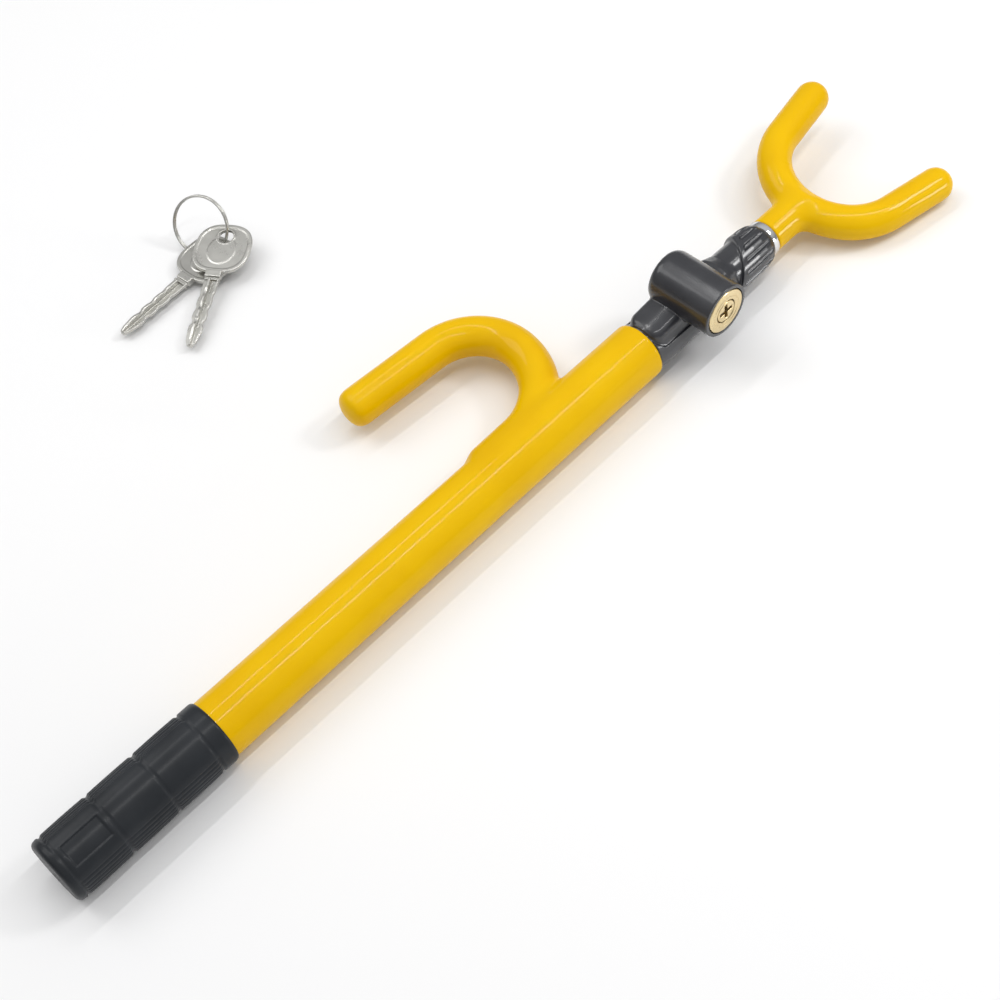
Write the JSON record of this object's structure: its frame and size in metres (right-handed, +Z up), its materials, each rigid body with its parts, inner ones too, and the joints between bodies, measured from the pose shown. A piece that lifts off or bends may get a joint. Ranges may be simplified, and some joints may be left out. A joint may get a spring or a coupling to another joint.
{
  "type": "steering wheel lock",
  "caption": "Telescopic steering wheel lock: coated tube with a hook and grip, grooved sliding rod with a fork, key barrel in a dark head, and keys on a ring.",
  "frame": {"origin": "middle of the flat end of the grip, on the tube's axis", "axes": "+X along the tube from the grip to the fork, +Y towards the hook's side, +Z up, the side the key barrel stands off to"},
  "size_m": [0.507, 0.28, 0.0444],
  "materials": {
    "yellow_vinyl": "glossy dipped vinyl",
    "grip_rubber": "satin moulded rubber",
    "head_moulding": "semi-gloss moulded",
    "tube_steel": "plain drawn steel",
    "chrome": "polished plate",
    "lock_brass": "turned, pale",
    "nickel": "satin nickel plate",
    "spring_steel": "oiled wire",
    "cast_alloy": "as cast",
    "nylon": "moulded, off-white"
  },
  "bodies": {
    "housing": {"main_tube": "tube_steel", "hook_rod": "tube_steel", "tube_coating": "yellow_vinyl", "grip_sleeve": "grip_rubber", "tube_end_plug": "nylon", "lock_body": "cast_alloy", "head_cover": "head_moulding", "nose_ferrule": "chrome", "guide_bush": "nylon", "head_pin_left": "tube_steel", "head_pin_right": "tube_steel", "cylinder_shell": "lock_brass", "cylinder_roll_pin": "tube_steel", "pawl_spring": "spring_steel", "pawl_set_screw": "tube_steel", "driver_pin_1": "lock_brass", "driver_pin_2": "lock_brass", "driver_pin_3": "lock_brass", "driver_pin_4": "lock_brass", "pin_spring_1": "spring_steel", "pin_spring_2": "spring_steel", "pin_spring_3": "spring_steel", "pin_spring_4": "spring_steel"},
    "slider": {"stop_bush": "nylon"},
    "rod_and_fork": {"rod": "chrome", "stop_clip": "spring_steel", "stop_washer": "tube_steel", "fork_rod": "tube_steel", "fork_coating": "yellow_vinyl"},
    "turning_plug": {"plug": "lock_brass", "plug_cam": "tube_steel", "key_pin_1": "lock_brass", "key_pin_2": "lock_brass", "key_pin_3": "lock_brass", "key_pin_4": "lock_brass"},
    "locking_pawl": {"pawl": "tube_steel"},
    "key_ring_body": {"key_ring": "nickel"},
    "front_key": {"key_front": "nickel"},
    "rear_key": {"key_rear": "nickel"}
  },
  "joints": [
    {"name": "rod_slide", "type": "slide", "parent": "housing", "child": "slider", "axis": [1, 0, 0], "range_m": [0, 0.225]},
    {"name": "rod_spin", "type": "hinge", "parent": "slider", "child": "rod_and_fork", "pos_m": [0.3, 0, 0], "axis": [1, 0, 0], "continuous": true},
    {"name": "plug_turn", "type": "hinge", "parent": "housing", "child": "turning_plug", "pos_m": [0.3626, -0.014, 0.0166], "axis": [0, 1, 0], "range_deg": [0, 90]},
    {"name": "pawl_slide", "type": "slide", "parent": "housing", "child": "locking_pawl", "axis": [0, 0, 1], "range_m": [0, 0.0025], "deforming": ["pawl_spring"]},
    {"name": "key_lift", "type": "slide", "parent": "housing", "child": "key_ring_body", "axis": [0, 0, 1], "range_m": [0, 0.1]},
    {"name": "front_key_swing", "type": "hinge", "parent": "key_ring_body", "child": "front_key", "pos_m": [0.26231, 0.20686, -0.00467], "axis": [-0.0825, -0.0521, 0.9952], "range_deg": [-5, 20]},
    {"name": "rear_key_swing", "type": "hinge", "parent": "key_ring_body", "child": "rear_key", "pos_m": [0.25704, 0.20888, -0.01058], "axis": [-0.007, -0.0004, 1], "range_deg": [-5, 12]}
  ],
  "couplings": [
    {"joint": "pawl_slide", "follows": "plug_turn", "m_per_rad": 0.0015915}
  ]
}
